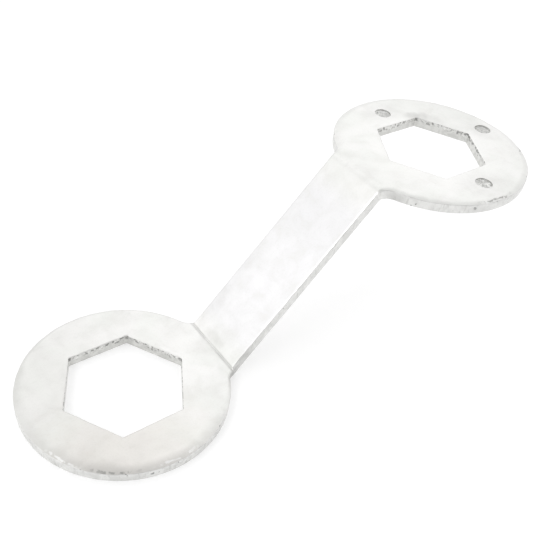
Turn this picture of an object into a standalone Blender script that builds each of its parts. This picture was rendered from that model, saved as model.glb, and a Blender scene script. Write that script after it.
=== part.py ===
"""Offset double-ended hexagon ring wrench.

The body is one flat steel blank, a round head at each end of a strip, bent twice into a Z so that
the two heads lie in parallel planes. Three plain drive pins are set into the upper head and stand
out below it.

Origin: the middle of the wrench's footprint, on the surface that the lower head lies on.
+X runs from the lower head (large hexagon) to the upper head (small hexagon), +Z up.
"""

import math

import bmesh
import bpy
from mathutils import Vector

MM = 0.001

# The plate
PLATE_THICKNESS = 4.2 * MM
LARGE_HEX_ACROSS_FLATS = 41.0 * MM
SMALL_HEX_ACROSS_FLATS = 39.0 * MM
LARGE_HEAD_RADIUS = 38.4 * MM
SMALL_HEAD_RADIUS = 39.1 * MM
HANDLE_WIDTH = 27.2 * MM
ROOT_FILLET_RADIUS = 7.0 * MM
EDGE_ROUNDING = 0.5 * MM

# The two bends. They are equal and opposite, so the heads stay parallel.
HEAD_RISE = 63.0 * MM
BEND_ANGLE = math.radians(47.0)
INSIDE_BEND_RADIUS = 1.0 * MM
LARGE_HEAD_TO_BEND = 37.3 * MM  # hexagon centre to the inside corner, along the top face
SMALL_HEAD_TO_BEND = 39.9 * MM  # hexagon centre to the outside corner, along the top face

# The drive pins
PIN_HOLE_RADIUS = 3.3 * MM
PIN_CLEARANCE = 0.3 * MM
PIN_HOLE_FROM_HEX = 8.9 * MM  # hole centre to the nearest part of the hexagon's outline
PIN_PROJECTION = 5.0 * MM
PIN_TOP_RECESS = 0.2 * MM
PIN_TIP_CHAMFER = 0.6 * MM
PIN_TOP_CHAMFER = 0.2 * MM

# Fineness of the curved shapes
HEAD_ARC_STEP = math.radians(4.0)
FILLET_ARC_STEP = math.radians(15.0)
BEND_STEPS = 7
PIN_STEPS = 32
EDGE_SEGMENTS = 2
CUTTER_OVERRUN = 3.0 * MM
WELD_DISTANCE = 0.001 * MM

# Places that follow from the dimensions above
HEAD_SPACING = LARGE_HEAD_TO_BEND + HEAD_RISE / math.tan(BEND_ANGLE) + SMALL_HEAD_TO_BEND
LARGE_HEAD_X = (LARGE_HEAD_RADIUS - HEAD_SPACING - SMALL_HEAD_RADIUS) / 2
SMALL_HEAD_X = LARGE_HEAD_X + HEAD_SPACING
OUTSIDE_BEND_RADIUS = INSIDE_BEND_RADIUS + PLATE_THICKNESS
MIDDLE_BEND_RADIUS = INSIDE_BEND_RADIUS + PLATE_THICKNESS / 2
BEND_LENGTH = MIDDLE_BEND_RADIUS * BEND_ANGLE
INSIDE_SETBACK = INSIDE_BEND_RADIUS * math.tan(BEND_ANGLE / 2)
OUTSIDE_SETBACK = OUTSIDE_BEND_RADIUS * math.tan(BEND_ANGLE / 2)

# Stations along the flat blank, counted from the large hexagon's centre
FIRST_BEND_START = LARGE_HEAD_TO_BEND - INSIDE_SETBACK
FIRST_BEND_END = FIRST_BEND_START + BEND_LENGTH
STRAIGHT_LENGTH = HEAD_RISE / math.sin(BEND_ANGLE) - INSIDE_SETBACK - OUTSIDE_SETBACK
SECOND_BEND_START = FIRST_BEND_END + STRAIGHT_LENGTH
SECOND_BEND_END = SECOND_BEND_START + BEND_LENGTH
SMALL_HEAD_STATION = SECOND_BEND_END + SMALL_HEAD_TO_BEND - OUTSIDE_SETBACK


def clear_scene():
    for obj in list(bpy.data.objects):
        bpy.data.objects.remove(obj, do_unlink=True)


def new_collection(name, hidden=False):
    collection = bpy.data.collections.new(name)
    collection.hide_render = hidden
    bpy.context.scene.collection.children.link(collection)
    return collection


def steel(name, color, roughness):
    material = bpy.data.materials.new(name)
    material.use_nodes = True
    shader = material.node_tree.nodes["Principled BSDF"]
    shader.inputs["Base Color"].default_value = (*color, 1.0)
    shader.inputs["Metallic"].default_value = 1.0
    shader.inputs["Roughness"].default_value = roughness
    return material


def arc(centre, radius, start, end, step):
    """Points on a circle from one angle to the other, both included."""
    count = max(2, math.ceil(abs(end - start) / step))
    angles = [start + (end - start) * i / count for i in range(count + 1)]
    return [centre + radius * Vector((math.cos(a), math.sin(a))) for a in angles]


def root_fillet(head_x, head_radius, side):
    """Centre of the fillet on the +Y edge of the handle, side = +1 towards +X of the head, and the
    angle at the head's centre at which it meets the rim, measured from +X."""
    height = HANDLE_WIDTH / 2 + ROOT_FILLET_RADIUS
    reach = head_radius + ROOT_FILLET_RADIUS
    run = math.sqrt(reach**2 - height**2)
    return Vector((head_x + side * run, height)), math.atan2(height, side * run)


def blank_outline():
    """The flat blank's outline: two rims joined to the handle's straight edges by fillets."""
    large_fillet, large_angle = root_fillet(0.0, LARGE_HEAD_RADIUS, 1)
    small_fillet, small_angle = root_fillet(SMALL_HEAD_STATION, SMALL_HEAD_RADIUS, -1)
    quarter = math.pi / 2
    upper = arc(large_fillet, ROOT_FILLET_RADIUS, large_angle - math.pi, -quarter, FILLET_ARC_STEP)
    upper += arc(small_fillet, ROOT_FILLET_RADIUS, -quarter, small_angle - math.pi, FILLET_ARC_STEP)
    lower = [Vector((p.x, -p.y)) for p in reversed(upper)]
    small_centre = Vector((SMALL_HEAD_STATION, 0.0))
    small_rim = arc(small_centre, SMALL_HEAD_RADIUS, small_angle, -small_angle, HEAD_ARC_STEP)
    large_rim = arc(
        Vector((0.0, 0.0)),
        LARGE_HEAD_RADIUS,
        2 * math.pi - large_angle,
        large_angle,
        HEAD_ARC_STEP,
    )
    return upper + small_rim[1:-1] + lower + large_rim[1:-1]


def flat_blank(outline):
    """The outline as a filled, extruded curve, converted to a closed mesh."""
    curve = bpy.data.curves.new("blank_outline", "CURVE")
    curve.dimensions = "2D"
    curve.fill_mode = "BOTH"
    curve.extrude = PLATE_THICKNESS / 2
    spline = curve.splines.new("POLY")
    spline.points.add(len(outline) - 1)
    for point, place in zip(spline.points, outline):
        point.co = (place.x, place.y, 0.0, 1.0)
    spline.use_cyclic_u = True
    guide = bpy.data.objects.new("blank_outline", curve)
    bpy.context.scene.collection.objects.link(guide)
    bpy.context.view_layer.update()
    mesh = bpy.data.meshes.new_from_object(guide.evaluated_get(bpy.context.evaluated_depsgraph_get()))
    bpy.data.objects.remove(guide, do_unlink=True)
    bm = bmesh.new()
    bm.from_mesh(mesh)
    bmesh.ops.remove_doubles(bm, verts=bm.verts, dist=WELD_DISTANCE)
    bmesh.ops.translate(bm, verts=bm.verts, vec=(0.0, 0.0, PLATE_THICKNESS / 2))
    bmesh.ops.dissolve_limit(bm, angle_limit=math.radians(1.0), verts=bm.verts, edges=bm.edges)
    bmesh.ops.recalc_face_normals(bm, faces=bm.faces)
    bpy.data.meshes.remove(mesh)
    return bm


def round_outline_edges(bm):
    """Softens the blank's top and bottom edges all round."""
    flat_edges = [e for e in bm.edges if any(abs(f.normal.z) > 0.9 for f in e.link_faces)]
    bmesh.ops.bevel(
        bm,
        geom=flat_edges,
        offset=EDGE_ROUNDING,
        segments=EDGE_SEGMENTS,
        profile=0.5,
        affect="EDGES",
    )


def split_at_bends(bm):
    """Cuts the blank across at every step of both bends, so that it can follow them."""
    for start in (FIRST_BEND_START, SECOND_BEND_START):
        for i in range(BEND_STEPS + 1):
            bmesh.ops.bisect_plane(
                bm,
                geom=bm.verts[:] + bm.edges[:] + bm.faces[:],
                dist=WELD_DISTANCE,
                plane_co=(start + BEND_LENGTH * i / BEND_STEPS, 0.0, 0.0),
                plane_no=(1.0, 0.0, 0.0),
            )


def bent(place):
    """Where a point of the flat blank goes once both bends are made."""
    s, y, z = place
    below_top = PLATE_THICKNESS - z
    if s <= FIRST_BEND_START:
        return Vector((s, y, z))
    turn = min((s - FIRST_BEND_START) / MIDDLE_BEND_RADIUS, BEND_ANGLE)
    radius = INSIDE_BEND_RADIUS + below_top
    x = FIRST_BEND_START + radius * math.sin(turn)
    height = PLATE_THICKNESS + INSIDE_BEND_RADIUS - radius * math.cos(turn)
    run = min(max(s - FIRST_BEND_END, 0.0), STRAIGHT_LENGTH)
    x += run * math.cos(BEND_ANGLE)
    height += run * math.sin(BEND_ANGLE)
    if s > SECOND_BEND_START:
        back = min((s - SECOND_BEND_START) / MIDDLE_BEND_RADIUS, BEND_ANGLE)
        radius = INSIDE_BEND_RADIUS + z
        x += radius * (math.sin(BEND_ANGLE) - math.sin(BEND_ANGLE - back))
        height += radius * (math.cos(BEND_ANGLE - back) - math.cos(BEND_ANGLE))
    x += max(s - SECOND_BEND_END, 0.0)
    return Vector((x, y, height))


def bend_blank(bm):
    for vert in bm.verts:
        vert.co = bent(vert.co)


def hexagon_radius(across_flats):
    return across_flats / math.sqrt(3)


def prism_cutter(name, sides, radius, place, collection):
    """A vertical prism through one head, with a corner, or the first of many sides, towards +X."""
    bm = bmesh.new()
    bmesh.ops.create_cone(
        bm,
        cap_ends=True,
        segments=sides,
        radius1=radius,
        radius2=radius,
        depth=PLATE_THICKNESS + 2 * CUTTER_OVERRUN,
    )
    mesh = bpy.data.meshes.new(name)
    bm.to_mesh(mesh)
    bm.free()
    obj = bpy.data.objects.new(name, mesh)
    obj.location = place
    obj.rotation_euler.z = math.pi / 2
    obj.hide_render = True
    obj.display_type = "WIRE"
    collection.objects.link(obj)
    return obj


def pin_places():
    """Hole centres on the upper head: one ahead of a hexagon corner and one beside each side flat."""
    ahead = hexagon_radius(SMALL_HEX_ACROSS_FLATS) + PIN_HOLE_FROM_HEX
    beside = SMALL_HEX_ACROSS_FLATS / 2 + PIN_HOLE_FROM_HEX
    return {
        "drive_pin_front": Vector((SMALL_HEAD_X + ahead, 0.0, HEAD_RISE)),
        "drive_pin_left": Vector((SMALL_HEAD_X, beside, HEAD_RISE)),
        "drive_pin_right": Vector((SMALL_HEAD_X, -beside, HEAD_RISE)),
    }


def wrench_plate(parts, cutters, material):
    bm = flat_blank(blank_outline())
    round_outline_edges(bm)
    split_at_bends(bm)
    bend_blank(bm)
    bmesh.ops.recalc_face_normals(bm, faces=bm.faces)
    mesh = bpy.data.meshes.new("wrench_plate")
    bm.to_mesh(mesh)
    bm.free()
    mesh.shade_smooth()
    mesh.set_sharp_from_angle(angle=math.radians(30.0))
    mesh.materials.append(material)
    plate = bpy.data.objects.new("wrench_plate", mesh)
    plate.location.x = LARGE_HEAD_X
    parts.objects.link(plate)

    mid_plate = PLATE_THICKNESS / 2
    large_centre = (LARGE_HEAD_X, 0.0, mid_plate)
    small_centre = (SMALL_HEAD_X, 0.0, HEAD_RISE + mid_plate)
    large_radius = hexagon_radius(LARGE_HEX_ACROSS_FLATS)
    small_radius = hexagon_radius(SMALL_HEX_ACROSS_FLATS)
    holes = [
        prism_cutter("large_hexagon_cutter", 6, large_radius, large_centre, cutters),
        prism_cutter("small_hexagon_cutter", 6, small_radius, small_centre, cutters),
    ]
    for name, place in pin_places().items():
        centre = place + Vector((0.0, 0.0, mid_plate))
        holes.append(prism_cutter(name + "_hole", PIN_STEPS, PIN_HOLE_RADIUS, centre, cutters))
    for hole in holes:
        cut = plate.modifiers.new(hole.name, "BOOLEAN")
        cut.operation = "DIFFERENCE"
        cut.solver = "EXACT"
        cut.object = hole
    return plate


def pin_mesh(material):
    """A turned pin, hung from the plane of the upper head's lower face."""
    radius = PIN_HOLE_RADIUS - PIN_CLEARANCE
    top = PLATE_THICKNESS - PIN_TOP_RECESS
    profile = [
        (0.0, top),
        (radius - PIN_TOP_CHAMFER, top),
        (radius, top - PIN_TOP_CHAMFER),
        (radius, PIN_TIP_CHAMFER - PIN_PROJECTION),
        (radius - PIN_TIP_CHAMFER, -PIN_PROJECTION),
        (0.0, -PIN_PROJECTION),
    ]
    mesh = bpy.data.meshes.new("drive_pin")
    points = [(x, 0.0, z) for x, z in profile]
    edges = [(i, i + 1) for i in range(len(points) - 1)]
    mesh.from_pydata(points, edges, [])
    mesh.materials.append(material)
    return mesh


def drive_pin(name, place, mesh, parts):
    pin = bpy.data.objects.new(name, mesh)
    pin.location = place
    screw = pin.modifiers.new("turned", "SCREW")
    screw.steps = PIN_STEPS
    screw.render_steps = PIN_STEPS
    screw.use_merge_vertices = True
    screw.merge_threshold = WELD_DISTANCE
    screw.use_smooth_shade = True
    parts.objects.link(pin)
    return pin


def main():
    clear_scene()
    parts = new_collection("offset_ring_wrench")
    cutters = new_collection("cutters", hidden=True)
    plate_steel = steel("zinc_plated_steel", (0.80, 0.80, 0.77), 0.38)
    pin_steel = steel("pin_steel", (0.52, 0.53, 0.52), 0.50)
    wrench_plate(parts, cutters, plate_steel)
    turned = pin_mesh(pin_steel)
    for name, place in pin_places().items():
        drive_pin(name, place, turned, parts)


main()
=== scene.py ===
"""The looks of the offset hexagon ring wrench: a zinc-plated, sheared and bent plate with three pins."""

import math
from dataclasses import dataclass
from typing import Callable

import bmesh
import bpy
from mathutils import Matrix, Vector, noise


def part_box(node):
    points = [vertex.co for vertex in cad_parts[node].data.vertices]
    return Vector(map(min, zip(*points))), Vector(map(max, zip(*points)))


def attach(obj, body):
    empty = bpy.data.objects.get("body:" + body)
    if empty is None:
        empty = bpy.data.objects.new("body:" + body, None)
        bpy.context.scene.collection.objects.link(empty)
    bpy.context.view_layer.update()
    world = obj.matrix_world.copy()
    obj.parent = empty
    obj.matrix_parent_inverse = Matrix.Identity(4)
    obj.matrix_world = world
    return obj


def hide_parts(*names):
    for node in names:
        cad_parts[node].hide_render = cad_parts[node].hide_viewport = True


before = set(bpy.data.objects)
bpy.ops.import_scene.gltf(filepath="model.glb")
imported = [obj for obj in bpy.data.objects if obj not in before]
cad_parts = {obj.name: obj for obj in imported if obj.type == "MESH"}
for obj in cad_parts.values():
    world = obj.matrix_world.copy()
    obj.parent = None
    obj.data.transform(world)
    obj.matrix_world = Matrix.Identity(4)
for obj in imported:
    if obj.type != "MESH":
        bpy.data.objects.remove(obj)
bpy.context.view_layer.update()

MM = 0.001

# The plate, as the CAD has it
THICKNESS = 4.2 * MM
LARGE_HEX_ACROSS_FLATS = 41.0 * MM
SMALL_HEX_ACROSS_FLATS = 39.0 * MM
LARGE_HEAD_RADIUS = 38.4 * MM
SMALL_HEAD_RADIUS = 39.1 * MM
HANDLE_WIDTH = 27.2 * MM
ROOT_FILLET_RADIUS = 7.0 * MM
HEAD_RISE = 63.0 * MM
BEND_ANGLE = math.radians(47.0)
INSIDE_BEND_RADIUS = 1.0 * MM
LARGE_HEAD_TO_BEND = 37.3 * MM
SMALL_HEAD_TO_BEND = 39.9 * MM
PIN_HOLE_RADIUS = 3.3 * MM
PIN_HOLE_FROM_HEX = 8.9 * MM

OUTSIDE_BEND_RADIUS = INSIDE_BEND_RADIUS + THICKNESS
MIDDLE_BEND_RADIUS = INSIDE_BEND_RADIUS + THICKNESS / 2
BEND_LENGTH = MIDDLE_BEND_RADIUS * BEND_ANGLE
INSIDE_SETBACK = INSIDE_BEND_RADIUS * math.tan(BEND_ANGLE / 2)
OUTSIDE_SETBACK = OUTSIDE_BEND_RADIUS * math.tan(BEND_ANGLE / 2)

# Stations along the flat blank, counted from the large hexagon's centre
FIRST_BEND = LARGE_HEAD_TO_BEND - INSIDE_SETBACK
STRAIGHT_LENGTH = HEAD_RISE / math.sin(BEND_ANGLE) - INSIDE_SETBACK - OUTSIDE_SETBACK
SECOND_BEND = FIRST_BEND + BEND_LENGTH + STRAIGHT_LENGTH
SMALL_HEAD_STATION = SECOND_BEND + BEND_LENGTH + SMALL_HEAD_TO_BEND - OUTSIDE_SETBACK

# Places on the bent plate, in the shared frame
PLATE_LOW, PLATE_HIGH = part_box("wrench_plate")
HEAD_SPACING = LARGE_HEAD_TO_BEND + HEAD_RISE / math.tan(BEND_ANGLE) + SMALL_HEAD_TO_BEND
LARGE_HEAD_X = (PLATE_LOW.x + PLATE_HIGH.x + LARGE_HEAD_RADIUS - SMALL_HEAD_RADIUS - HEAD_SPACING) / 2
SMALL_HEAD_X = LARGE_HEAD_X + HEAD_SPACING
UPPER_FACE = HEAD_RISE + THICKNESS

# The fineness of the visible mesh
EDGE_STEP = 0.45 * MM
BEND_STEPS = 14
SAG_STEPS = 6
CORNER_STEPS = 4
BURR_STEPS = 3
WALL_SHARES = (0.12, 0.3, 0.45, 0.6, 0.75, 0.9)
CROWN_STEPS = 6
PIN_STEPS = 56

# The sheared edges: how far they stay inside the CAD, and the hexagons' rounded corners
EDGE_SLACK = 0.03 * MM
HEX_CORNER_RADIUS = 0.4 * MM
# Width and drop of the sagging upper side, at its most and its least round the lower head
LARGE_HEAD_SAG = (4.8 * MM, 0.62 * MM)
LEAST_SAG = (1.2 * MM, 0.2 * MM)
SAGGING_SIDE = Vector((-0.69, -0.72))
SMALL_HEAD_SAG = (2.5 * MM, 0.48 * MM)
HANDLE_SAG = (0.9 * MM, 0.08 * MM)
SOCKET_SAG = (0.6 * MM, 0.12 * MM)
HOLE_SAG = (0.12 * MM, 0.01 * MM)
# Radius of the small torn corner below the sag
RIM_CORNER = 0.3 * MM
SOCKET_CORNER = 0.22 * MM
HOLE_CORNER = 0.08 * MM
# Waves per metre of the torn grain and the lumps on the cut edges
TEAR_SCALE = 1100.0
LUMP_SCALE = 300.0

# The bends: the line pressed into the first one, faint near its middle, and the bulge at both
CREASE_DEPTH = 0.26 * MM
CREASE_MIDDLE = 1.0 * MM
BEND_BULGE = 0.6 * MM

# (degrees anticlockwise from +X, height in mm) of the knocks round each head
LARGE_RIM_KNOCKS = (
    (-96, 4.1), (-118, 3.9), (-140, 4.2), (-163, 4.0), (172, 4.2), (-78, 4.1),
    (-60, 3.6), (-128, 2.2), (-105, 1.9), (120, 4.2), (65, 4.0),
)
SMALL_RIM_KNOCKS = (
    (12, 4.2), (20, 4.1), (38, 4.2), (-18, 4.0), (-42, 4.2), (-58, 3.8),
    (-75, 2.6), (-96, 3.6), (-110, 2.0), (95, 4.2), (140, 4.0), (-30, 2.2),
)
# Depth of a knock against its reach
KNOCK_STEEPNESS = 0.14
# Height, reach and depth of the hollows in the hexagons' far corners, which get painted shade
CORNER_HOLLOW = (3.4 * MM, 2.3 * MM, 0.10 * MM)

# The pins beyond the CAD's: a hammered, crowned and swollen top, and a chamfered tip
PEENED_SWELL = 0.28 * MM
CROWN_REACH = 0.98
CROWN_DROP = 0.07 * MM
DINT_DEPTH = 0.07 * MM
# (swelling, depth below the top) in mm of the peened end, and (inset, height) in mm of the tip
PEENED_PROFILE = ((1.0, 0.20), (1.0, 1.2), (0.0, 1.6))
TIP_PROFILE = ((0.0, 0.62), (0.12, 0.5), (0.55, 0.06), (0.75, 0.0))
# (node, where its finish's pattern starts, its brightest grey) of each pin
PINS = (("drive_pin_front", 0.0, 0.72), ("drive_pin_left", 0.37, 0.78), ("drive_pin_right", 0.81, 0.90))

# The plate's material slots
PLATED_FACE, SHEARED_EDGE, SOCKET_WALL = range(3)

# Base colours of the plating, from its duller to its brighter clouds; the handle's pair is a lighter, bluer
# copy, painted light from the sky its slope faces
HEAD_ZINC = ((0.875, 0.88, 0.855), (0.91, 0.905, 0.89))
HANDLE_LIT_ZINC = ((0.895, 0.89, 0.895), (0.915, 0.91, 0.92))
CLOUDY_ZINC = (0.83, 0.825, 0.80)
GRAIN_GREY = (0.62, 0.62, 0.59)
# Painted highlight on the lower head's rolled edge
RIM_HIGHLIGHT_WHITE = (0.98, 0.98, 0.97)
# Base colours of the painted reflection, painted shade and marks laid on the plating, and of the bare steel
# showing through it
ROOT_REFLECTION_GREY = (0.40, 0.40, 0.36)
LOWER_SHADE_GREY = (0.32, 0.31, 0.285)
WARM_SHADE_GREY = (0.50, 0.38, 0.24)
MARK_AND_SHADE_GREY = (0.30, 0.30, 0.28)
ROLLED_EDGE_SHADE_GREY = (0.42, 0.42, 0.40)
CREASE_SHADE_GREY = (0.36, 0.36, 0.35)
BARE_STEEL = (0.38, 0.38, 0.365)
# Base colours of the cut edges, the same way
EDGE_ZINC = ((0.70, 0.70, 0.685), (0.82, 0.82, 0.805))
EDGE_STREAK = (0.50, 0.50, 0.48)
EDGE_PIT = (0.16, 0.16, 0.155)
# Painted shade in the knocks
EDGE_KNOCK_SHADE = (0.17, 0.17, 0.165)
EDGE_MARK_AND_SHADE_GREY = (0.30, 0.30, 0.29)
WALL_ZINC = ((0.62, 0.62, 0.60), (0.78, 0.78, 0.76))
WALL_SPECK = (0.15, 0.15, 0.145)
WALL_GLINT = (0.92, 0.92, 0.90)
# Painted shade in the corner hollows and knocks
WALL_KNOCK_SHADE = (0.12, 0.12, 0.115)
PIN_GREY = (0.52, 0.52, 0.505)
PIN_GRIME = (0.20, 0.20, 0.19)

# (centre, half sizes, strength) of the painted dark reflection at the handle's root and the painted warm
# shade at the lower front
ROOT_REFLECTION = (
    Vector((LARGE_HEAD_X + 39.3 * MM, 0.5 * MM, THICKNESS + 2.2 * MM)),
    (3.2 * MM, 7.5 * MM, 3.2 * MM),
    0.20,
)
WARM_FRONT_SHADE = (
    Vector((LARGE_HEAD_X - 14.0 * MM, -32.0 * MM, THICKNESS)),
    (44.0 * MM, 44.0 * MM, 9.0 * MM),
    0.115,
)
# The same of the darker patches on the tops
FACE_MARKS_AND_SHADE = (
    # Three darker patches by the upper hexagon's far corner
    (Vector((SMALL_HEAD_X + 10.8 * MM, 21.8 * MM, UPPER_FACE)), (4.6 * MM, 3.8 * MM, 3.0 * MM), 0.28),
    (Vector((SMALL_HEAD_X + 14.2 * MM, 19.2 * MM, UPPER_FACE)), (4.6 * MM, 4.8 * MM, 3.0 * MM), 0.28),
    (Vector((SMALL_HEAD_X + 17.4 * MM, 14.4 * MM, UPPER_FACE)), (5.0 * MM, 8.0 * MM, 3.0 * MM), 0.12),
    # Painted shade over the upper head's back, the lower head's front left, the handle's +Y edge and the
    # handle's upper part
    (Vector((SMALL_HEAD_X + 24.0 * MM, 14.0 * MM, UPPER_FACE)), (18.0 * MM, 22.0 * MM, 4.0 * MM), 0.06),
    (Vector((LARGE_HEAD_X - 22.0 * MM, -30.0 * MM, 3.8 * MM)), (8.0 * MM, 7.0 * MM, 2.4 * MM), 0.09),
    (Vector((LARGE_HEAD_X + 47.0 * MM, 12.5 * MM, 14.6 * MM)), (13.0 * MM, 6.0 * MM, 13.0 * MM), 0.12),
    (Vector((LARGE_HEAD_X + 60.0 * MM, 13.0 * MM, 28.6 * MM)), (14.0 * MM, 5.0 * MM, 14.0 * MM), 0.08),
    (Vector((LARGE_HEAD_X + 81.0 * MM, -2.0 * MM, 51.0 * MM)), (20.0 * MM, 30.0 * MM, 20.0 * MM), 0.06),
)
# The same of the darker patches on the cut edges: painted shade on the walls at the lower head's right, the
# handle's foot and the upper head's right, and a darker patch at the upper bend's root
EDGE_MARKS_AND_SHADE = (
    (Vector((LARGE_HEAD_X + 37.0 * MM, -11.0 * MM, 2.0 * MM)), (6.0 * MM, 12.0 * MM, 4.0 * MM), 0.45),
    (Vector((LARGE_HEAD_X + 42.0 * MM, -14.0 * MM, 8.0 * MM)), (7.0 * MM, 3.0 * MM, 7.0 * MM), 0.30),
    (Vector((SMALL_HEAD_X - 34.0 * MM, -17.0 * MM, 64.0 * MM)), (6.0 * MM, 5.0 * MM, 3.5 * MM), 0.25),
    (Vector((SMALL_HEAD_X + 30.0 * MM, -25.0 * MM, 66.0 * MM)), (8.0 * MM, 10.0 * MM, 2.6 * MM), 0.25),
)
# How ragged the marks, the painted shade patches and the painted reflection at the handle's root are
MARK_RAGGED = 0.45
ROOT_REFLECTION_RAGGED = 0.8
# Painted shade on the lower head, darkest at the end away from the handle
LOWER_SHADE_CENTRE = Vector((LARGE_HEAD_X - 37.0 * MM, -1.0 * MM, THICKNESS))
LOWER_SHADE_REACH = (20.0 * MM, 73.0 * MM)
LOWER_SHADE_STRENGTH = 0.21
# Strength of the painted shade on the sagging rolled edges
ROLLED_EDGE_SHADE_STRENGTH = 0.16
CREASE_SHADE_STRENGTH = 0.26
STREAK_STRENGTH = 0.8
# (head, degrees from +X, reach, colour) of the streaks along the heads' rolled edges: the white ones are
# painted highlights, the others bare-steel scratches
LOWER_HEAD = (LARGE_HEAD_X, LARGE_HEAD_RADIUS, THICKNESS)
UPPER_HEAD = (SMALL_HEAD_X, SMALL_HEAD_RADIUS, UPPER_FACE)
RIM_STREAKS = (
    (LOWER_HEAD, -151, 9.0 * MM, RIM_HIGHLIGHT_WHITE),
    (LOWER_HEAD, -90, 12.0 * MM, RIM_HIGHLIGHT_WHITE),
    (LOWER_HEAD, -124, 12.0 * MM, BARE_STEEL),
    (UPPER_HEAD, -96, 11.0 * MM, BARE_STEEL),
    (UPPER_HEAD, -27, 7.0 * MM, BARE_STEEL),
)

# The studio
FLOOR_GREY = 0.67
FLOOR_GLOW = 0.44
SKY_WHITE = (0.998, 0.998, 1.0, 1.0)
SKY_LEVEL = 0.97
# (heading, cosines from it where the change starts and is full, change of level)
SKY_PATCHES = (
    ((0.44, 0.53, 0.72), (0.80, 0.98), 0.17),
    ((-0.77, 0.56, 0.30), (0.84, 0.99), 0.20),
    ((-0.12, 0.60, 0.80), (0.90, 0.99), 0.13),
    ((0.0, -0.1, 1.0), (0.80, 0.96), -0.28),
    ((-0.62, -0.66, 0.45), (0.40, 0.95), -0.36),
)
SOFTBOX_PLACE = (-0.95, 0.0, 1.05)
SOFTBOX_SIDE = 0.7
SOFTBOX_POWER = 3.0

CAMERA_PLACE = (-0.15685, -0.16354, 0.21949)
CAMERA_AIM = (-0.00627, -0.00202, 0.0315)
CAMERA_ROLL = math.radians(9.53)
CAMERA_LENS = 50.39
CAMERA_SENSOR = 36.0


# ---------------------------------------------------------------- node helpers


class Nodes:
    """Short calls for building one material's or the world's node tree."""

    def __init__(self, tree):
        self.tree = tree

    def add(self, kind, **settings):
        node = self.tree.nodes.new(kind)
        for name, value in settings.items():
            setattr(node, name, value)
        return node

    def put(self, socket, value):
        """Links an input to a socket, or sets it to a number or a colour."""
        if isinstance(value, bpy.types.NodeSocket):
            self.tree.links.new(value, socket)
        elif isinstance(value, tuple) and len(socket.default_value) == 4:
            socket.default_value = (*value, 1.0)
        else:
            socket.default_value = value

    def place(self, scale=(1.0, 1.0, 1.0), shift=(0.0, 0.0, 0.0)):
        """Object coordinates in metres, scaled along each axis and shifted."""
        coordinates = self.add("ShaderNodeTexCoord")
        mapping = self.add("ShaderNodeMapping")
        self.put(mapping.inputs["Vector"], coordinates.outputs["Object"])
        mapping.inputs["Scale"].default_value = scale
        mapping.inputs["Location"].default_value = shift
        return mapping.outputs["Vector"]

    def axes(self, vector):
        """A vector's X, Y and Z."""
        node = self.add("ShaderNodeSeparateXYZ")
        self.put(node.inputs["Vector"], vector)
        return node.outputs["X"], node.outputs["Y"], node.outputs["Z"]

    def noise(self, vector, scale, detail=2.0, roughness=0.5, distortion=0.0):
        node = self.add("ShaderNodeTexNoise")
        self.put(node.inputs["Vector"], vector)
        node.inputs["Scale"].default_value = scale
        node.inputs["Detail"].default_value = detail
        node.inputs["Roughness"].default_value = roughness
        node.inputs["Distortion"].default_value = distortion
        return node.outputs["Fac"]

    def spots(self, vector, scale):
        """Distance to the nearest of many scattered points, from 0 at each point."""
        node = self.add("ShaderNodeTexVoronoi")
        self.put(node.inputs["Vector"], vector)
        node.inputs["Scale"].default_value = scale
        return node.outputs["Distance"]

    def written(self, name):
        """A number that the mesh carries at each vertex."""
        return self.add("ShaderNodeAttribute", attribute_name=name).outputs["Fac"]

    def fit(self, value, low, high, to_low=0.0, to_high=1.0):
        """The value's range low..high, smoothly mapped to another and held at its ends."""
        node = self.add("ShaderNodeMapRange", interpolation_type="SMOOTHSTEP")
        self.put(node.inputs["Value"], value)
        node.inputs["From Min"].default_value = low
        node.inputs["From Max"].default_value = high
        node.inputs["To Min"].default_value = to_low
        node.inputs["To Max"].default_value = to_high
        return node.outputs["Result"]

    def calculate(self, operation, first, second=0.0):
        node = self.add("ShaderNodeMath", operation=operation)
        self.put(node.inputs[0], first)
        self.put(node.inputs[1], second)
        return node.outputs["Value"]

    def plus(self, first, second):
        return self.calculate("ADD", first, second)

    def minus(self, first, second):
        return self.calculate("SUBTRACT", first, second)

    def times(self, first, second):
        return self.calculate("MULTIPLY", first, second)

    def size(self, first, second):
        """The length of the arrow with these two sides."""
        square = self.plus(self.calculate("POWER", first, 2.0), self.calculate("POWER", second, 2.0))
        return self.calculate("SQRT", square)

    def vector(self, operation, first, second=None):
        """A calculation with one or two vectors, as its node."""
        node = self.add("ShaderNodeVectorMath", operation=operation)
        self.put(node.inputs[0], first)
        if second is not None:
            self.put(node.inputs[1], second)
        return node

    def mix(self, share, first, second):
        node = self.add("ShaderNodeMix", data_type="RGBA")
        self.put(node.inputs[0], share)
        self.put(node.inputs[6], first)
        self.put(node.inputs[7], second)
        return node.outputs[2]

    def bump(self, height, distance, over=None):
        node = self.add("ShaderNodeBump")
        node.inputs["Distance"].default_value = distance
        node.inputs["Strength"].default_value = 1.0
        self.put(node.inputs["Height"], height)
        if over is not None:
            self.put(node.inputs["Normal"], over)
        return node.outputs["Normal"]

    def surface(self, color, roughness, normal):
        """Gives the material's metal its colour, roughness and relief."""
        shader = self.tree.nodes["Principled BSDF"]
        shader.inputs["Metallic"].default_value = 1.0
        self.put(shader.inputs["Base Color"], color)
        self.put(shader.inputs["Roughness"], roughness)
        self.put(shader.inputs["Normal"], normal)


def new_material(name):
    """An empty material and its node helper."""
    material = bpy.data.materials.new(name)
    material.use_nodes = True
    return material, Nodes(material.node_tree)


# ---------------------------------------------------------------- marks on the metal


def rim_point(head_x, head_radius, degrees, height):
    """A place on a head's rim, at an angle from +X."""
    angle = math.radians(degrees)
    return Vector((head_x + head_radius * math.cos(angle), head_radius * math.sin(angle), height))


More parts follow.
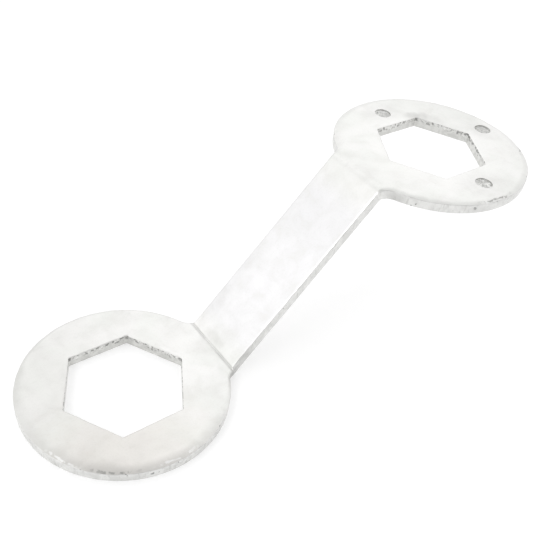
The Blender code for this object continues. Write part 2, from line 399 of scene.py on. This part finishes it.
def blot(nodes, place, centre, size, ragged):
    """A soft, ragged blot round a point of the plate, from 0 outside to 1 at its middle."""
    offset = nodes.vector("SUBTRACT", place, centre).outputs["Vector"]
    stretched = nodes.vector("DIVIDE", offset, size).outputs["Vector"]
    distance = nodes.vector("LENGTH", stretched).outputs["Value"]
    wobble = nodes.times(nodes.noise(place, 420.0, detail=3.0), ragged)
    return nodes.fit(nodes.plus(distance, wobble), ragged / 2 + 0.2, ragged / 2 + 1.0, 1.0, 0.0)


def with_marks(nodes, place, color, marks, mark_color):
    """The colour with each of the marks laid over it."""
    for centre, size, strength in marks:
        mark = blot(nodes, place, centre, size, MARK_RAGGED)
        color = nodes.mix(nodes.times(mark, strength), color, mark_color)
    return color


def crease_shade(nodes, place):
    """Painted shade along the line pressed into the inside of the first bend, fainter near its middle."""
    x, y, z = nodes.axes(place)
    ahead = nodes.minus(x, LARGE_HEAD_X + LARGE_HEAD_TO_BEND - 0.15 * MM)
    above = nodes.minus(z, THICKNESS + 0.1 * MM)
    waver = nodes.times(nodes.noise(place, 500.0), 0.5 * MM)
    line = nodes.fit(nodes.minus(nodes.size(ahead, above), waver), 0.15 * MM, 0.75 * MM, 1.0, 0.0)
    beside = nodes.calculate("ABSOLUTE", nodes.minus(y, CREASE_MIDDLE))
    return nodes.times(line, nodes.fit(beside, 2.0 * MM, 6.0 * MM, 0.25, 1.0))


def rim_streak(nodes, place, head, degrees, reach):
    """A thin broken line along a head's rolled edge, at an angle round it from +X."""
    head_x, radius, height = head
    x, y = nodes.axes(place)[:2]
    inside = nodes.minus(radius + 1.25 * MM, nodes.size(nodes.minus(x, head_x), y))
    waver = nodes.times(nodes.noise(place, 170.0, detail=3.0), 4.5 * MM)
    off_line = nodes.calculate("ABSOLUTE", nodes.minus(inside, waver))
    line = nodes.fit(off_line, 0.2 * MM, 0.6 * MM, 1.0, 0.0)
    broken = nodes.fit(nodes.noise(nodes.place(shift=(0.4, 0.8, 0.1)), 520.0), 0.42, 0.54)
    near = blot(nodes, place, rim_point(head_x, radius, degrees, height), (reach, reach, reach), 0.4)
    return nodes.times(nodes.times(line, broken), nodes.times(near, STREAK_STRENGTH))


def on_handle(nodes, place):
    """1 on the sloping handle and 0 on the two heads."""
    z = nodes.axes(place)[2]
    above_lower = nodes.fit(z, THICKNESS + 1.0 * MM, THICKNESS + 9.0 * MM)
    below_upper = nodes.fit(z, HEAD_RISE - 8.0 * MM, HEAD_RISE + 1.0 * MM, 1.0, 0.0)
    return nodes.times(above_lower, below_upper)


def lower_head_shade(nodes, place, clouds):
    """The share of painted shade that lies on the lower head."""
    away = nodes.vector("DISTANCE", place, LOWER_SHADE_CENTRE).outputs["Value"]
    lower_shade = nodes.fit(away, LOWER_SHADE_REACH[0], LOWER_SHADE_REACH[1], LOWER_SHADE_STRENGTH, 0.0)
    return nodes.times(lower_shade, nodes.fit(clouds, 0.3, 0.7, 0.85, 1.1))


def knock_shade_flakes(nodes):
    """Flakes of painted shade, only where the mesh says that the edge was knocked."""
    flakes = nodes.noise(nodes.place(shift=(0.7, 0.2, 0.5)), 800.0, roughness=0.6)
    return nodes.fit(nodes.times(nodes.written("grime"), flakes), 0.26, 0.52, 0.0, 0.7)


# ---------------------------------------------------------------- materials


def zinc_plated_face():
    """Bright zinc on rolled plate: cloudy patches, faint tints, a fine grain and a few light scuffs, under
    painted shade, a painted reflection and painted highlights.
    """
    material, nodes = new_material("zinc_plated_face")
    place = nodes.place()
    clouds = nodes.noise(place, 55.0, detail=3.0, roughness=0.55, distortion=0.6)
    patches = nodes.noise(
        nodes.place(shift=(0.3, 0.1, 0.7)), 150.0, detail=3.0, roughness=0.6, distortion=0.4
    )
    grain = nodes.noise(place, 1500.0, detail=3.0, roughness=0.65)
    peel = nodes.noise(nodes.place(shift=(0.9, 0.4, 0.2)), 620.0)

    brightness = nodes.fit(clouds, 0.36, 0.64)
    on_heads = nodes.mix(brightness, *HEAD_ZINC)
    # The sloping handle gets the lighter, bluer copy of the zinc: painted light
    color = nodes.mix(on_handle(nodes, place), on_heads, nodes.mix(brightness, *HANDLE_LIT_ZINC))
    color = nodes.mix(nodes.fit(patches, 0.5, 0.74, 0.0, 0.4), color, CLOUDY_ZINC)
    color = nodes.mix(nodes.fit(grain, 0.35, 0.5, 0.10, 0.0), color, GRAIN_GREY)
    # Painted dark reflection of the lower head on the handle's root
    root_reflection = blot(nodes, place, ROOT_REFLECTION[0], ROOT_REFLECTION[1], ROOT_REFLECTION_RAGGED)
    color = nodes.mix(nodes.times(root_reflection, ROOT_REFLECTION[2]), color, ROOT_REFLECTION_GREY)
    # Painted shade over the lower head, and a warmer painted shade at its front
    color = nodes.mix(lower_head_shade(nodes, place, clouds), color, LOWER_SHADE_GREY)
    color = with_marks(nodes, place, color, (WARM_FRONT_SHADE,), WARM_SHADE_GREY)
    # Darker patches and painted shade on the tops
    color = with_marks(nodes, place, color, FACE_MARKS_AND_SHADE, MARK_AND_SHADE_GREY)
    # Painted shade on the sagging rolled edges, where they tilt towards the dim front sky
    rolled = nodes.fit(nodes.written("sag"), 0.0, 1.0, 0.0, ROLLED_EDGE_SHADE_STRENGTH)
    color = nodes.mix(nodes.times(rolled, nodes.fit(patches, 0.3, 0.6, 0.55, 1.0)), color, ROLLED_EDGE_SHADE_GREY)
    # Painted highlights and bare-steel scratches along the rolled edges
    for head, degrees, reach, streak_color in RIM_STREAKS:
        color = nodes.mix(rim_streak(nodes, place, head, degrees, reach), color, streak_color)
    # Painted shade in the first bend's crease
    color = nodes.mix(nodes.times(crease_shade(nodes, place), CREASE_SHADE_STRENGTH), color, CREASE_SHADE_GREY)

    scuffs = nodes.noise(nodes.place(scale=(1.0, 14.0, 1.0)), 90.0, roughness=0.6, distortion=0.3)
    rough = nodes.plus(nodes.fit(patches, 0.3, 0.7, 0.30, 0.42), nodes.fit(scuffs, 0.62, 0.7, 0.0, 0.08))
    normal = nodes.bump(clouds, 0.10 * MM)
    normal = nodes.bump(peel, 0.012 * MM, over=normal)
    normal = nodes.bump(grain, 0.004 * MM, over=normal)
    nodes.surface(color, rough, normal)
    return material


def sheared_edge():
    """The outer cut edges: duller zinc over torn steel, streaked across the plate, with dark pits, darker
    patches, and painted shade in the knocks and on walls facing away from the light.
    """
    material, nodes = new_material("sheared_zinc_edge")
    place = nodes.place()
    streaks = nodes.noise(nodes.place(scale=(1.0, 1.0, 0.22)), 900.0, detail=3.0, roughness=0.6)
    blotches = nodes.noise(place, 260.0, detail=3.0, roughness=0.6, distortion=0.5)
    worn = nodes.noise(nodes.place(shift=(0.2, 0.6, 0.1)), 380.0)
    pits = nodes.fit(nodes.spots(place, 620.0), 0.10, 0.24, 1.0, 0.0)
    pitted = nodes.times(pits, nodes.fit(worn, 0.56, 0.66))

    color = nodes.mix(nodes.fit(blotches, 0.35, 0.65), *EDGE_ZINC)
    color = nodes.mix(nodes.fit(streaks, 0.54, 0.70, 0.0, 0.4), color, EDGE_STREAK)
    color = nodes.mix(nodes.times(pitted, 0.75), color, EDGE_PIT)
    # Darker patches and painted shade on the cut edges
    color = with_marks(nodes, place, color, EDGE_MARKS_AND_SHADE, EDGE_MARK_AND_SHADE_GREY)
    color = nodes.mix(knock_shade_flakes(nodes), color, EDGE_KNOCK_SHADE)

    normal = nodes.bump(streaks, 0.07 * MM)
    normal = nodes.bump(blotches, 0.10 * MM, over=normal)
    normal = nodes.bump(nodes.times(pitted, -1.0), 0.08 * MM, over=normal)
    nodes.surface(color, nodes.fit(blotches, 0.3, 0.7, 0.42, 0.60), normal)
    return material


def socket_wall():
    """The punched hexagon walls: smooth grey lower down, torn and speckled nearly black along the top, with
    painted shade in the far corners' hollows.
    """
    material, nodes = new_material("punched_socket_wall")
    place = nodes.place()
    z = nodes.axes(place)[2]
    on_upper_head = nodes.calculate("GREATER_THAN", z, HEAD_RISE / 2)
    height = nodes.minus(z, nodes.times(on_upper_head, HEAD_RISE))
    blotches = nodes.noise(place, 330.0, detail=3.0, roughness=0.65, distortion=0.5)
    specks = nodes.noise(nodes.place(shift=(0.6, 0.3, 0.8)), 850.0, roughness=0.6)
    waver = nodes.noise(
        nodes.place(scale=(1.0, 1.0, 0.5), shift=(0.1, 0.9, 0.4)), 240.0, detail=3.0, roughness=0.6
    )
    wavering_height = nodes.plus(height, nodes.times(nodes.minus(waver, 0.5), 6.0 * MM))
    torn = nodes.fit(wavering_height, THICKNESS - 2.0 * MM, THICKNESS - 1.0 * MM)

    color = nodes.mix(nodes.fit(blotches, 0.35, 0.65), *WALL_ZINC)
    dark = nodes.times(torn, nodes.fit(specks, 0.50, 0.60))
    color = nodes.mix(nodes.times(dark, 0.68), color, WALL_SPECK)
    bright = nodes.times(torn, nodes.fit(specks, 0.40, 0.34))
    color = nodes.mix(nodes.times(bright, 0.7), color, WALL_GLINT)
    color = nodes.mix(knock_shade_flakes(nodes), color, WALL_KNOCK_SHADE)

    normal = nodes.bump(blotches, 0.12 * MM)
    normal = nodes.bump(nodes.times(torn, specks), 0.10 * MM, over=normal)
    nodes.surface(color, nodes.fit(blotches, 0.3, 0.7, 0.42, 0.62), normal)
    return material


def pin_steel(node, shift, brightest):
    """Unplated pin ends: dull grey, hammered bright in places, with faint turning rings and dark grime."""
    material, nodes = new_material(node + "_steel")
    hammered = nodes.noise(
        nodes.place(shift=(shift, 0.3 * shift, 0.0)), 520.0, detail=3.0, roughness=0.6, distortion=0.4
    )
    grime = nodes.noise(nodes.place(shift=(0.5 + shift, 0.2, 0.9)), 1100.0, detail=3.0, roughness=0.65)
    rings = nodes.add("ShaderNodeTexWave", wave_type="RINGS", rings_direction="Z")
    nodes.put(rings.inputs["Vector"], nodes.place())
    rings.inputs["Scale"].default_value = 700.0
    rings.inputs["Distortion"].default_value = 1.5

    hammered_bright = (brightest, brightest, brightest - 0.02)
    color = nodes.mix(nodes.fit(hammered, 0.35, 0.65), PIN_GREY, hammered_bright)
    color = nodes.mix(nodes.fit(grime, 0.52, 0.66, 0.0, 0.65), color, PIN_GRIME)
    normal = nodes.bump(hammered, 0.08 * MM)
    normal = nodes.bump(rings.outputs["Fac"], 0.006 * MM, over=normal)
    nodes.surface(color, nodes.fit(hammered, 0.3, 0.7, 0.38, 0.58), normal)
    return material


# ---------------------------------------------------------------- the plate's outlines


def arc(centre, radius, start, end):
    """Evenly spaced points from one angle to the other on a circle, without the last."""
    count = max(3, round(abs(end - start) * radius / EDGE_STEP))
    angles = [start + (end - start) * i / count for i in range(count)]
    return [Vector((centre[0] + radius * math.cos(a), centre[1] + radius * math.sin(a))) for a in angles]


def line(start, end):
    """Evenly spaced points along a straight edge, without the last."""
    count = max(1, round((end - start).length / EDGE_STEP))
    return [start.lerp(end, i / count) for i in range(count)]


def blank_outline():
    """The blank's outline, anticlockwise, starting at the foot of the lower handle edge."""
    height = HANDLE_WIDTH / 2 + ROOT_FILLET_RADIUS
    large_reach = math.sqrt((LARGE_HEAD_RADIUS + ROOT_FILLET_RADIUS) ** 2 - height**2)
    small_reach = math.sqrt((SMALL_HEAD_RADIUS + ROOT_FILLET_RADIUS) ** 2 - height**2)
    large_angle = math.atan2(height, large_reach)
    small_angle = math.atan2(height, small_reach)
    small_x = SMALL_HEAD_STATION - small_reach
    half = HANDLE_WIDTH / 2
    quarter = math.pi / 2
    points = line(Vector((large_reach, -half)), Vector((small_x, -half)))
    points += arc((small_x, -height), ROOT_FILLET_RADIUS, quarter, small_angle)
    points += arc((SMALL_HEAD_STATION, 0.0), SMALL_HEAD_RADIUS, small_angle - math.pi, math.pi - small_angle)
    points += arc((small_x, height), ROOT_FILLET_RADIUS, -small_angle, -quarter)
    points += line(Vector((small_x, half)), Vector((large_reach, half)))
    points += arc((large_reach, height), ROOT_FILLET_RADIUS, -quarter, large_angle - math.pi)
    points += arc((0.0, 0.0), LARGE_HEAD_RADIUS, large_angle, 2 * math.pi - large_angle)
    points += arc((large_reach, -height), ROOT_FILLET_RADIUS, math.pi - large_angle, quarter)
    return points


def hexagon_outline(x, across_flats):
    """A hexagon hole with a corner towards +X and very slightly rounded corners, clockwise."""
    points = []
    middle = across_flats / math.sqrt(3) - HEX_CORNER_RADIUS * 2 / math.sqrt(3)
    centres = [middle * Vector((math.cos(a), math.sin(a))) for a in (math.radians(60 * i) for i in range(6))]
    for i, centre in enumerate(centres):
        heading = math.radians(60 * i)
        shifted = centre + Vector((x, 0.0))
        corner = arc(shifted, HEX_CORNER_RADIUS, heading - math.pi / 6, heading + math.pi / 6)
        following = math.radians(60 * i + 30)
        outward = HEX_CORNER_RADIUS * Vector((math.cos(following), math.sin(following)))
        start = shifted + outward
        end = centres[(i + 1) % 6] + Vector((x, 0.0)) + outward
        points += corner + line(start, end)
    return points[::-1]


def outward_normals(points):
    """Unit normals of a closed outline that point away from the metal."""
    normals = []
    for i in range(len(points)):
        along = points[(i + 1) % len(points)] - points[i - 1]
        normals.append(Vector((along.y, -along.x)).normalized())
    return normals


# ---------------------------------------------------------------- the plate's cut edges


@dataclass
class Cut:
    """One closed cut edge: its line, upper side and material, its burr, its lean and its roughness."""

    outline: list
    upper_side: Callable
    material: int
    burr: float
    taper: float
    roughness: float


def smooth_step(value, low, high):
    share = min(max((value - low) / (high - low), 0.0), 1.0)
    return share * share * (3 - 2 * share)


def rim_side(place):
    """(width, drop, corner) of the sagging upper edge: wide round the heads, narrow along the handle."""
    onto_handle = min(place.x - LARGE_HEAD_RADIUS, SMALL_HEAD_STATION - SMALL_HEAD_RADIUS - place.x)
    head = 1 - smooth_step(onto_handle, -3.5 * MM, 2.5 * MM)
    uneven = 1 + 0.35 * noise.noise(Vector((place.x, place.y, 0.0)) * 95.0)
    jagged = 1 + 0.8 * noise.noise(Vector((place.x, place.y, 0.04)) * 380.0)
    if place.x < SMALL_HEAD_STATION / 2:
        facing = smooth_step(Vector((place.x, place.y)).normalized().dot(SAGGING_SIDE), -0.35, 0.5)
        width = LEAST_SAG[0] + (LARGE_HEAD_SAG[0] - LEAST_SAG[0]) * facing
        drop = LEAST_SAG[1] + (LARGE_HEAD_SAG[1] - LEAST_SAG[1]) * facing
    else:
        width, drop = SMALL_HEAD_SAG
    width = HANDLE_SAG[0] + (width - HANDLE_SAG[0]) * head
    drop = HANDLE_SAG[1] + (drop - HANDLE_SAG[1]) * head
    return width * uneven, drop * uneven, RIM_CORNER * jagged


def socket_side(place):
    """The same of a hexagon's edge, unevenly torn."""
    uneven = 1 + 0.7 * noise.noise(Vector((place.x, place.y, 0.02)) * 420.0)
    return SOCKET_SAG[0] * uneven, SOCKET_SAG[1] * uneven, SOCKET_CORNER * uneven


def hole_side(place):
    """The same of a pin hole's edge, everywhere alike."""
    return HOLE_SAG[0], HOLE_SAG[1], HOLE_CORNER


def make_knocks():
    """(place, reach, depth, darkness) of the knocks along the rims and in the hexagons' far corners; darkness
    is their share of painted shade.
    """
    knocks = []
    for x, radius, places in (
        (0.0, LARGE_HEAD_RADIUS, LARGE_RIM_KNOCKS),
        (SMALL_HEAD_STATION, SMALL_HEAD_RADIUS, SMALL_RIM_KNOCKS),
    ):
        for i, (degrees, height) in enumerate(places):
            reach = (0.9 + 0.35 * (i % 3)) * MM
            knocks.append((rim_point(x, radius, degrees, height * MM), reach, KNOCK_STEEPNESS * reach, 1.0))
    height, reach, depth = CORNER_HOLLOW
    for x, across_flats, corners, darkness in (
        (0.0, LARGE_HEX_ACROSS_FLATS, (0, 60, 120), 1.0),
        (SMALL_HEAD_STATION, SMALL_HEX_ACROSS_FLATS, (0, 60), 0.8),
    ):
        for degrees in corners:
            knocks.append((rim_point(x, across_flats / math.sqrt(3), degrees, height), reach, depth, darkness))
    return knocks


def edge_wear(place, height, roughness, knocks):
    """(depth, grime): how far the cut edge is eaten back at a point, and how much painted shade the knock
    gets there.
    """
    exposed = 1 - min(1.0, abs(height / THICKNESS - 0.4) / 0.6)
    torn = noise.noise(Vector((place.x, place.y, height * 0.35)) * TEAR_SCALE)
    lumps = noise.noise(Vector((place.x, place.y, height * 0.6)) * LUMP_SCALE)
    wear = roughness * exposed * (0.6 + 0.5 * torn + 0.5 * lumps)
    grime = 0.0
    for knock, reach, depth, darkness in knocks:
        distance = (Vector((place.x, place.y, height)) - knock).length / reach
        if distance < 1:
            hollow = (1 - distance**2) ** 2
            wear += depth * hollow
            # The grime value is the share of painted shade in the knock
            grime = max(grime, darkness * hollow)
    return max(0.0, wear), grime


def edge_rows(place, cut):
    """(height, inset) pairs down the cut edge at a place: sagging, a small corner, the wall, a blunt burr."""
    width, drop, corner = cut.upper_side(place)
    rows = []
    for i in range(SAG_STEPS):
        share = i / SAG_STEPS
        rows.append((THICKNESS - drop * share**1.8, corner + (width - corner) * (1 - share)))
    for i in range(CORNER_STEPS + 1):
        angle = math.pi / 2 * i / CORNER_STEPS
        rows.append((THICKNESS - drop - corner * (1 - math.cos(angle)), corner * (1 - math.sin(angle))))
    wall_top = THICKNESS - drop - corner
    for share in WALL_SHARES:
        rows.append((wall_top + (cut.burr - wall_top) * share, cut.taper * share))
    for i in range(BURR_STEPS + 1):
        angle = math.pi / 2 * i / BURR_STEPS
        rows.append((cut.burr * (1 - math.sin(angle)), cut.taper + cut.burr * (1 - math.cos(angle))))
    return rows


def add_edge(bm, cut, knocks):
    """Builds one cut edge as rows of quads and returns its top and bottom loops of edges."""
    # The grime layer carries the share of painted shade in the knocks
    knock_shade_layer = bm.verts.layers.float["grime"]
    sag_layer = bm.verts.layers.float["sag"]
    columns = []
    for place, normal in zip(cut.outline, outward_normals(cut.outline)):
        column = []
        for height, inset in edge_rows(place, cut):
            depth, grime = edge_wear(place, height, cut.roughness, knocks)
            moved = place - normal * (EDGE_SLACK + inset + depth)
            vert = bm.verts.new((moved.x, moved.y, height))
            vert[knock_shade_layer] = grime
            if cut.material == SHEARED_EDGE:
                vert[sag_layer] = 1 - min(inset / LARGE_HEAD_SAG[0], 1.0)
            column.append(vert)
        columns.append(column)
    tops, bottoms = [], []
    for column, following in zip(columns, columns[1:] + columns[:1]):
        for i in range(len(column) - 1):
            face = bm.faces.new((column[i], column[i + 1], following[i + 1], following[i]))
            face.material_index = PLATED_FACE if i <= SAG_STEPS else cut.material
            face.smooth = True
        tops.append(bm.edges.get((column[0], following[0])))
        bottoms.append(bm.edges.get((column[-1], following[-1])))
    return tops, bottoms


def cut_edges():
    """The cuts of the outline, the two hexagons and the three pin holes."""
    rim_shape = {"burr": 0.2 * MM, "taper": 0.10 * MM, "roughness": 0.16 * MM}
    socket_shape = {"burr": 0.15 * MM, "taper": 0.04 * MM, "roughness": 0.12 * MM}
    hole_shape = {"burr": 0.12 * MM, "taper": 0.0, "roughness": 0.0}
    cuts = [Cut(blank_outline(), rim_side, material=SHEARED_EDGE, **rim_shape)]
    for x, across_flats in ((0.0, LARGE_HEX_ACROSS_FLATS), (SMALL_HEAD_STATION, SMALL_HEX_ACROSS_FLATS)):
        outline = hexagon_outline(x, across_flats)
        cuts.append(Cut(outline, socket_side, material=SOCKET_WALL, **socket_shape))
    ahead = SMALL_HEX_ACROSS_FLATS / math.sqrt(3) + PIN_HOLE_FROM_HEX
    beside = SMALL_HEX_ACROSS_FLATS / 2 + PIN_HOLE_FROM_HEX
    for x, y in ((ahead, 0.0), (0.0, beside), (0.0, -beside)):
        outline = arc((SMALL_HEAD_STATION + x, y), PIN_HOLE_RADIUS, 2 * math.pi, 0.0)
        cuts.append(Cut(outline, hole_side, material=SHEARED_EDGE, **hole_shape))
    return cuts


# ---------------------------------------------------------------- the bent plate


def fill_between(bm, loops, up):
    """Fills between the outline and the holes at the plate's top or bottom."""
    edges = [edge for loop in loops for edge in loop]
    made = bmesh.ops.triangle_fill(bm, edges=edges, use_beauty=True, normal=(0.0, 0.0, up))
    faces = [item for item in made["geom"] if isinstance(item, bmesh.types.BMFace)]
    for face in faces:
        face.smooth = True
        face.material_index = PLATED_FACE


def split_at_bends(bm):
    """Cuts the flat blank across, so that both bends have faces enough to be round."""
    for start in (FIRST_BEND, SECOND_BEND):
        for i in range(BEND_STEPS + 1):
            bmesh.ops.bisect_plane(
                bm,
                geom=bm.verts[:] + bm.edges[:] + bm.faces[:],
                dist=0.0005 * MM,
                plane_co=(start + BEND_LENGTH * i / BEND_STEPS, 0.0, 0.0),
                plane_no=(1.0, 0.0, 0.0),
            )


def bend_bulge(place):
    """How far the squeezed inner side of a bend swells outward at the handle's edges."""
    half = HANDLE_WIDTH / 2
    edge = smooth_step(abs(place.y), half - 3.0 * MM, half)
    for start, inner_side in ((FIRST_BEND, THICKNESS), (SECOND_BEND, 0.0)):
        along = abs(place.x - start - BEND_LENGTH / 2) / (BEND_LENGTH / 2 + 1.0 * MM)
        if along < 1:
            squeezed = 1 - abs(place.z - inner_side) / THICKNESS
            return math.copysign(BEND_BULGE * edge * squeezed**1.5 * (1 - along**2) ** 2, place.y)
    return 0.0


def crease_depth(place):
    """How deep the top is pressed in along the inside of the first bend."""
    across = abs(place.x - FIRST_BEND - BEND_LENGTH / 2) / (BEND_LENGTH / 2 + 0.35 * MM)
    if across >= 1 or place.z < THICKNESS - 1.4 * MM:
        return 0.0
    wavering = 1 + 0.25 * noise.noise(Vector((0.0, place.y, 0.0)) * 260.0)
    faint = 0.45 + 0.55 * smooth_step(abs(place.y - CREASE_MIDDLE), 1.5 * MM, 6.0 * MM)
    return CREASE_DEPTH * faint * wavering * (1 - across**2) ** 2


def bent(place):
    """Where a point of the flat blank goes once both bends are made."""
    s, y, z = place
    if s <= FIRST_BEND:
        return Vector((s, y, z))
    turn = min((s - FIRST_BEND) / MIDDLE_BEND_RADIUS, BEND_ANGLE)
    radius = INSIDE_BEND_RADIUS + THICKNESS - z
    x = FIRST_BEND + radius * math.sin(turn)
    height = THICKNESS + INSIDE_BEND_RADIUS - radius * math.cos(turn)
    run = min(max(s - FIRST_BEND - BEND_LENGTH, 0.0), STRAIGHT_LENGTH)
    x += run * math.cos(BEND_ANGLE)
    height += run * math.sin(BEND_ANGLE)
    if s > SECOND_BEND:
        back = min((s - SECOND_BEND) / MIDDLE_BEND_RADIUS, BEND_ANGLE)
        radius = INSIDE_BEND_RADIUS + z
        x += radius * (math.sin(BEND_ANGLE) - math.sin(BEND_ANGLE - back))
        height += radius * (math.cos(BEND_ANGLE - back) - math.cos(BEND_ANGLE))
    x += max(s - SECOND_BEND - BEND_LENGTH, 0.0)
    return Vector((x, y, height))


def plate_piece(materials):
    """The sheared, punched and bent plate."""
    bm = bmesh.new()
    bm.verts.layers.float.new("grime")
    bm.verts.layers.float.new("sag")
    knocks = make_knocks()
    loops = [add_edge(bm, cut, knocks) for cut in cut_edges()]
    fill_between(bm, [tops for tops, bottoms in loops], 1.0)
    fill_between(bm, [bottoms for tops, bottoms in loops], -1.0)
    split_at_bends(bm)
    for vert in bm.verts:
        vert.co.y += bend_bulge(vert.co)
        vert.co.z -= crease_depth(vert.co)
        vert.co = bent(vert.co)
    bmesh.ops.recalc_face_normals(bm, faces=bm.faces)
    mesh = bpy.data.meshes.new("zinc_plated_plate")
    bm.to_mesh(mesh)
    bm.free()
    for material in materials:
        mesh.materials.append(material)
    mesh.transform(Matrix.Translation((LARGE_HEAD_X, 0.0, 0.0)))
    piece = bpy.data.objects.new("zinc_plated_plate", mesh)
    bpy.context.scene.collection.objects.link(piece)
    weights = piece.modifiers.new("flat_faces_lead", "WEIGHTED_NORMAL")
    weights.weight = 80
    weights.keep_sharp = True
    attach(piece, "root")
    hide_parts("wrench_plate")


# ---------------------------------------------------------------- the pins


def pin_profile(radius, top, tip):
    """(radius, height) pairs from the middle of a pin's crowned top, down its side, to its tip's middle."""
    shares = [i / CROWN_STEPS for i in range(CROWN_STEPS + 1)]
    crown = [(radius * CROWN_REACH * share, top - CROWN_DROP * share**2) for share in shares]
    peened = [(radius + PEENED_SWELL * swelling, top - depth * MM) for swelling, depth in PEENED_PROFILE]
    pointed = [(radius - inset * MM, tip + height * MM) for inset, height in TIP_PROFILE]
    return crown + peened + pointed + [(0.0, tip)]


def hammer(bm, centre, radius, top):
    """Dints a pin's crowned top."""
    for vert in bm.verts:
        reach = math.hypot(vert.co.x, vert.co.y)
        if vert.co.z > top - 0.2 * MM and reach < radius:
            dint = noise.noise((vert.co + centre) * 900.0)
            vert.co.z -= DINT_DEPTH * (0.5 + 0.5 * dint)


def pin_piece(node, material):
    """A pin with a peened, slightly crowned top and a chamfered tip, turned as a lathe would."""
    low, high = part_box(node)
    centre = (low + high) / 2
    radius = (high.x - low.x) / 2
    top = high.z - centre.z
    tip = low.z - centre.z
    bm = bmesh.new()
    verts = [bm.verts.new((reach, 0.0, height)) for reach, height in pin_profile(radius, top, tip)]
    edges = [bm.edges.new(pair) for pair in zip(verts, verts[1:])]
    bmesh.ops.spin(
        bm,
        geom=verts + edges,
        cent=(0.0, 0.0, 0.0),
        axis=(0.0, 0.0, 1.0),
        angle=2 * math.pi,
        steps=PIN_STEPS,
        use_merge=True,
    )
    bmesh.ops.remove_doubles(bm, verts=bm.verts, dist=0.001 * MM)
    hammer(bm, centre, radius, top)
    bmesh.ops.recalc_face_normals(bm, faces=bm.faces)
    for face in bm.faces:
        face.smooth = True
    name = node.replace("drive_pin", "peened_pin")
    mesh = bpy.data.meshes.new(name)
    bm.to_mesh(mesh)
    bm.free()
    mesh.set_sharp_from_angle(angle=math.radians(40.0))
    mesh.materials.append(material)
    piece = bpy.data.objects.new(name, mesh)
    piece.location = centre
    bpy.context.scene.collection.objects.link(piece)
    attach(piece, "root")
    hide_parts(node)


# ---------------------------------------------------------------- the stage


def pale_floor():
    """A white sheet, lit a little from below as on a product photographer's light table."""
    mesh = bpy.data.meshes.new("floor")
    bm = bmesh.new()
    bmesh.ops.create_grid(bm, x_segments=1, y_segments=1, size=4.0)
    bm.to_mesh(mesh)
    bm.free()
    floor = bpy.data.objects.new("floor", mesh)
    floor.location.z = PLATE_LOW.z
    bpy.context.scene.collection.objects.link(floor)
    material = bpy.data.materials.new("pale_floor")
    material.use_nodes = True
    shader = material.node_tree.nodes["Principled BSDF"]
    shader.inputs["Base Color"].default_value = (FLOOR_GREY, FLOOR_GREY, FLOOR_GREY, 1.0)
    shader.inputs["Roughness"].default_value = 0.9
    shader.inputs["Specular IOR Level"].default_value = 0.1
    shader.inputs["Emission Color"].default_value = (1.0, 1.0, 1.0, 1.0)
    shader.inputs["Emission Strength"].default_value = FLOOR_GLOW
    mesh.materials.append(material)


def studio_sky():
    """A soft white dome, brighter in three directions and dimmer overhead and towards the front."""
    world = bpy.data.worlds.new("studio")
    world.use_nodes = True
    bpy.context.scene.world = world
    nodes = Nodes(world.node_tree)
    background = world.node_tree.nodes["Background"]
    direction = nodes.add("ShaderNodeTexCoord").outputs["Generated"]
    level = SKY_LEVEL
    for heading, spread, change in SKY_PATCHES:
        facing = nodes.vector("DOT_PRODUCT", direction, Vector(heading).normalized()).outputs["Value"]
        level = nodes.plus(level, nodes.fit(facing, spread[0], spread[1], 0.0, change))
    nodes.put(background.inputs["Strength"], level)
    background.inputs["Color"].default_value = SKY_WHITE


def left_softbox():
    """One weak square light, high on the lower head's side."""
    light = bpy.data.lights.new("left_softbox", "AREA")
    light.shape = "RECTANGLE"
    light.size = SOFTBOX_SIDE
    light.size_y = SOFTBOX_SIDE
    light.energy = SOFTBOX_POWER
    lamp = bpy.data.objects.new("left_softbox", light)
    lamp.location = SOFTBOX_PLACE
    lamp.rotation_euler = (-Vector(SOFTBOX_PLACE)).to_track_quat("-Z", "Y").to_euler()
    bpy.context.scene.collection.objects.link(lamp)


def add_camera():
    """Stands off the lower head's side, looking down along the wrench, a little rolled."""
    camera = bpy.data.cameras.new("camera")
    camera.lens = CAMERA_LENS
    camera.sensor_width = CAMERA_SENSOR
    camera.clip_start = 10.0 * MM
    obj = bpy.data.objects.new("camera", camera)
    place = Vector(CAMERA_PLACE)
    look = (Vector(CAMERA_AIM) - place).to_track_quat("-Z", "Y").to_matrix().to_4x4()
    obj.matrix_world = Matrix.Translation(place) @ look @ Matrix.Rotation(CAMERA_ROLL, 4, "Z")
    bpy.context.scene.collection.objects.link(obj)
    bpy.context.scene.camera = obj


plate_piece((zinc_plated_face(), sheared_edge(), socket_wall()))
for pin, pattern_start, brightest_grey in PINS:
    pin_piece(pin, pin_steel(pin, pattern_start, brightest_grey))
pale_floor()
studio_sky()
left_softbox()
add_camera()
bpy.context.scene.view_settings.view_transform = "Standard"
